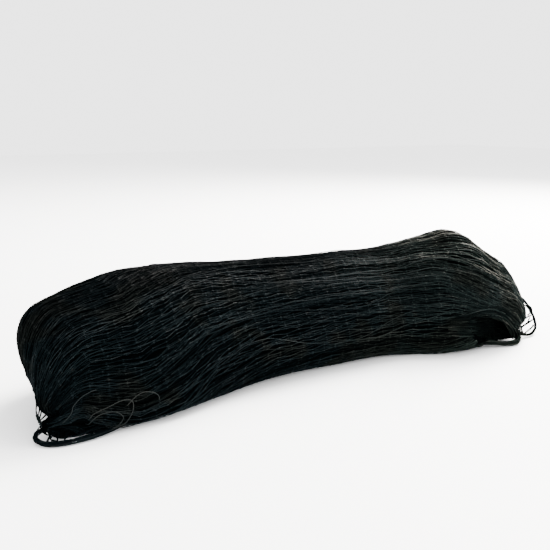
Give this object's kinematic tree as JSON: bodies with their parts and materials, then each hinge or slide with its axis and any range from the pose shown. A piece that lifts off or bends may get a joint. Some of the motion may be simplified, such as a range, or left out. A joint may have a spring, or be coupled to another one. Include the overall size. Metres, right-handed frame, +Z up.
{
  "type": "bird netting",
  "caption": "Hank of fine black garden netting, folded and gathered into a long bundle with two lobes, a drawn-in waist and slack strands at its ends",
  "frame": {"origin": "middle of the hank's bounding box in X and Y, on the surface that it rests on", "axes": "+X along the hank, from the lobe with the slack bundle to the lobe with the open fold; -Y towards its front; +Z up"},
  "size_m": [0.5179, 0.1448, 0.1102],
  "materials": {
    "black_net": "fine twisted black yarn, matt with a faint sheen along the strands"
  },
  "bodies": {
    "root": {"net_hank": "black_net"}
  },
  "joints": []
}
